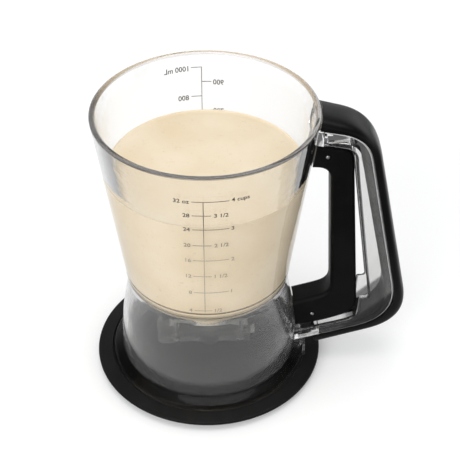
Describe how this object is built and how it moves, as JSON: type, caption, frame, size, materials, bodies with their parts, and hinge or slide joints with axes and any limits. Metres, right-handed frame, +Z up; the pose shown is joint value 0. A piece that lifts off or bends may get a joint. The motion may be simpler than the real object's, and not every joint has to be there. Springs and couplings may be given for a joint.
{
  "type": "pancake batter dispenser",
  "caption": "Clear measuring jug with a batter funnel on a drip tray, and a squeeze lever in its handle that pulls a gate open under the spout",
  "frame": {"origin": "the middle of the drip tray's underside, on the jug's axis, at the height of the table", "axes": "+Z up along the jug's axis, +X out through the handle, -Y towards the side with the cup and ounce scale"},
  "size_m": [0.194, 0.143, 0.1853],
  "materials": {
    "tray_black": "moulded black plastic, fine satin",
    "jug_clear": "clear moulded plastic",
    "skirt_clear": "clear moulded plastic, lightly frosted on the inside",
    "frame_clear": "clear moulded plastic",
    "grip_soft": "soft-touch black plastic with a broad sheen",
    "seat_silicone": "pale silicone",
    "guide_clear": "grey translucent moulded plastic",
    "steel": "stainless steel",
    "lever_black": "moulded black plastic, satin",
    "gate_grey": "moulded grey plastic",
    "rod_black": "moulded black plastic"
  },
  "bodies": {
    "tray": {"drip_tray": "tray_black"},
    "jug": {"jug_container": "jug_clear", "jug_skirt": "skirt_clear", "handle_frame": "frame_clear", "handle_grip": "grip_soft", "valve_seat": "seat_silicone", "valve_guide": "guide_clear", "guide_screw_1": "steel", "guide_screw_2": "steel", "guide_screw_3": "steel", "guide_screw_4": "steel"},
    "lever": {"squeeze_lever": "lever_black", "pivot_pin": "steel", "link_pin": "steel", "return_spring": "steel"},
    "gate": {"gate_plate": "gate_grey", "pull_rod": "rod_black"}
  },
  "joints": [
    {"name": "jug_lift", "type": "slide", "parent": "tray", "child": "jug", "axis": [0, 0, 1], "range_m": [0, 0.06]},
    {"name": "lever_hinge", "type": "hinge", "parent": "jug", "child": "lever", "pos_m": [0.0691, 0, 0.15739], "axis": [0, -1, 0], "range_deg": [0, 6.5], "stiffness_Nm_per_rad": 1.2, "springref_deg": -10.03},
    {"name": "gate_slide", "type": "slide", "parent": "jug", "child": "gate", "axis": [1, 0, 0], "range_m": [0, 0.01368]}
  ],
  "couplings": [
    {"joint": "gate_slide", "follows": "lever_hinge", "m_per_rad": 0.12054}
  ]
}
